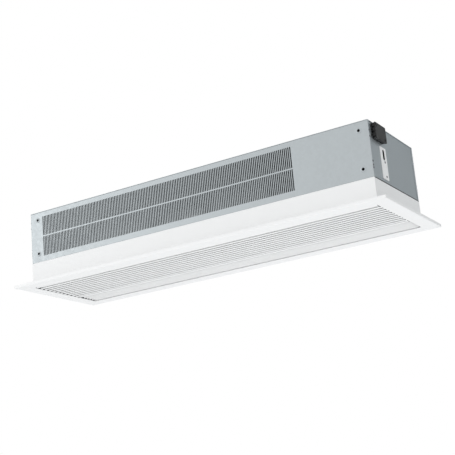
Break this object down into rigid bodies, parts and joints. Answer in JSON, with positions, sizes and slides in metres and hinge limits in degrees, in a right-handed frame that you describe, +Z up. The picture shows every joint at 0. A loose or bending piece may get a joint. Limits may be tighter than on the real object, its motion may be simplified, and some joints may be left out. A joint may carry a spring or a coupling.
{
  "type": "air curtain",
  "caption": "Ceiling-recessed air curtain: galvanised casing with a slotted side intake, white trim collar and flange, hinged bladed intake grille and tilting outlet vanes.",
  "frame": {"origin": "centre of the four hanging nuts, on the casing's top face", "axes": "+X along the casing towards the terminal box, +Y from the slotted side to the outlet side, +Z up into the ceiling void"},
  "size_m": [1.07, 0.336, 0.2063],
  "materials": {
    "galvanised_sheet": "hot-dip galvanised, faint spangle, satin",
    "blower_sheet": "dark grey coat, satin",
    "white_trim_paint": "white powder coat, satin",
    "white_aluminium": "white powder coat, satin",
    "white_strap_paint": "white powder coat, satin",
    "black_plastic": "moulded, matt",
    "box_plastic": "moulded, fine texture",
    "motor_casting": "die cast",
    "motor_laminations": "varnished laminations",
    "lead_rubber": "smooth sheath",
    "terminal_plastic": "moulded, matt",
    "board_laminate": "solder resist",
    "component_plastic": "moulded, gloss",
    "capacitor_can": "drawn can",
    "zinc_plated_steel": "zinc plated, satin"
  },
  "bodies": {
    "casing": {"top_panel": "galvanised_sheet", "front_panel": "galvanised_sheet", "back_panel": "galvanised_sheet", "left_end_panel": "galvanised_sheet", "right_end_panel": "galvanised_sheet", "electrics_partition": "galvanised_sheet", "fan_deck": "galvanised_sheet", "outlet_divider": "galvanised_sheet", "front_trim": "white_trim_paint", "back_trim": "white_trim_paint", "left_trim": "white_trim_paint", "right_trim": "white_trim_paint", "trim_corner_brackets": "galvanised_sheet", "left_scroll_wrap": "blower_sheet", "left_scroll_sides": "blower_sheet", "right_scroll_wrap": "blower_sheet", "right_scroll_sides": "blower_sheet", "inlet_rings": "blower_sheet", "motor_case": "motor_casting", "motor_end_shields": "motor_casting", "motor_stator": "motor_laminations", "motor_bearings": "zinc_plated_steel", "motor_cradle": "galvanised_sheet", "motor_straps": "zinc_plated_steel", "grille_catches": "zinc_plated_steel", "hinge_brackets": "zinc_plated_steel", "hinge_pins": "zinc_plated_steel", "vane_end_plates": "black_plastic", "terminal_box": "black_plastic", "terminal_box_lid": "box_plastic", "terminal_box_screws": "black_plastic", "cable_glands": "black_plastic", "terminal_block": "terminal_plastic", "control_board": "board_laminate", "board_components": "component_plastic", "board_standoffs": "zinc_plated_steel", "run_capacitor": "capacitor_can", "capacitor_clip": "black_plastic", "motor_lead": "lead_rubber", "lead_clips": "black_plastic", "lead_grommet": "lead_rubber", "end_straps": "white_strap_paint", "rivet_nuts": "zinc_plated_steel", "rivets": "zinc_plated_steel", "top_screws": "zinc_plated_steel"},
    "fan_rotor": {"motor_rotor": "motor_laminations", "motor_shaft": "zinc_plated_steel", "left_impeller": "blower_sheet", "right_impeller": "blower_sheet"},
    "intake_grille": {"grille_front_rail": "white_aluminium", "grille_rear_rail": "white_aluminium", "grille_blades": "white_aluminium", "grille_combs": "black_plastic", "grille_cross_bars": "white_aluminium"},
    "vane_1": {"vane_1": "white_aluminium"},
    "vane_2": {"vane_2": "white_aluminium"},
    "vane_3": {"vane_3": "white_aluminium"},
    "vane_4": {"vane_4": "white_aluminium"},
    "vane_5": {"vane_5": "white_aluminium"},
    "vane_link": {"vane_link": "zinc_plated_steel"}
  },
  "joints": [
    {"name": "fan_spin", "type": "hinge", "parent": "casing", "child": "fan_rotor", "pos_m": [-0.0975, 0.042, -0.078], "axis": [1, 0, 0], "continuous": true},
    {"name": "grille_hinge", "type": "hinge", "parent": "casing", "child": "intake_grille", "pos_m": [0, -0.1234, -0.1995], "axis": [1, 0, 0], "range_deg": [-85, 0]},
    {"name": "vane_1_tilt", "type": "hinge", "parent": "casing", "child": "vane_1", "pos_m": [0, 0.0733, -0.19347], "axis": [1, 0, 0], "range_deg": [-40, 8]},
    {"name": "vane_2_tilt", "type": "hinge", "parent": "casing", "child": "vane_2", "pos_m": [0, 0.0853, -0.19347], "axis": [1, 0, 0], "range_deg": [-40, 8]},
    {"name": "vane_3_tilt", "type": "hinge", "parent": "casing", "child": "vane_3", "pos_m": [0, 0.0973, -0.19347], "axis": [1, 0, 0], "range_deg": [-40, 8]},
    {"name": "vane_4_tilt", "type": "hinge", "parent": "casing", "child": "vane_4", "pos_m": [0, 0.1093, -0.19347], "axis": [1, 0, 0], "range_deg": [-40, 8]},
    {"name": "vane_5_tilt", "type": "hinge", "parent": "casing", "child": "vane_5", "pos_m": [0, 0.1213, -0.19347], "axis": [1, 0, 0], "range_deg": [-40, 8]},
    {"name": "link_swing", "type": "hinge", "parent": "vane_1", "child": "vane_link", "pos_m": [0.4946, 0.06954, -0.18641], "axis": [1, 0, 0], "range_deg": [-8, 40]}
  ],
  "couplings": [
    {"joint": "vane_2_tilt", "follows": "vane_1_tilt", "ratio": 1},
    {"joint": "vane_3_tilt", "follows": "vane_1_tilt", "ratio": 1},
    {"joint": "vane_4_tilt", "follows": "vane_1_tilt", "ratio": 1},
    {"joint": "vane_5_tilt", "follows": "vane_1_tilt", "ratio": 1},
    {"joint": "link_swing", "follows": "vane_1_tilt", "ratio": -1}
  ]
}
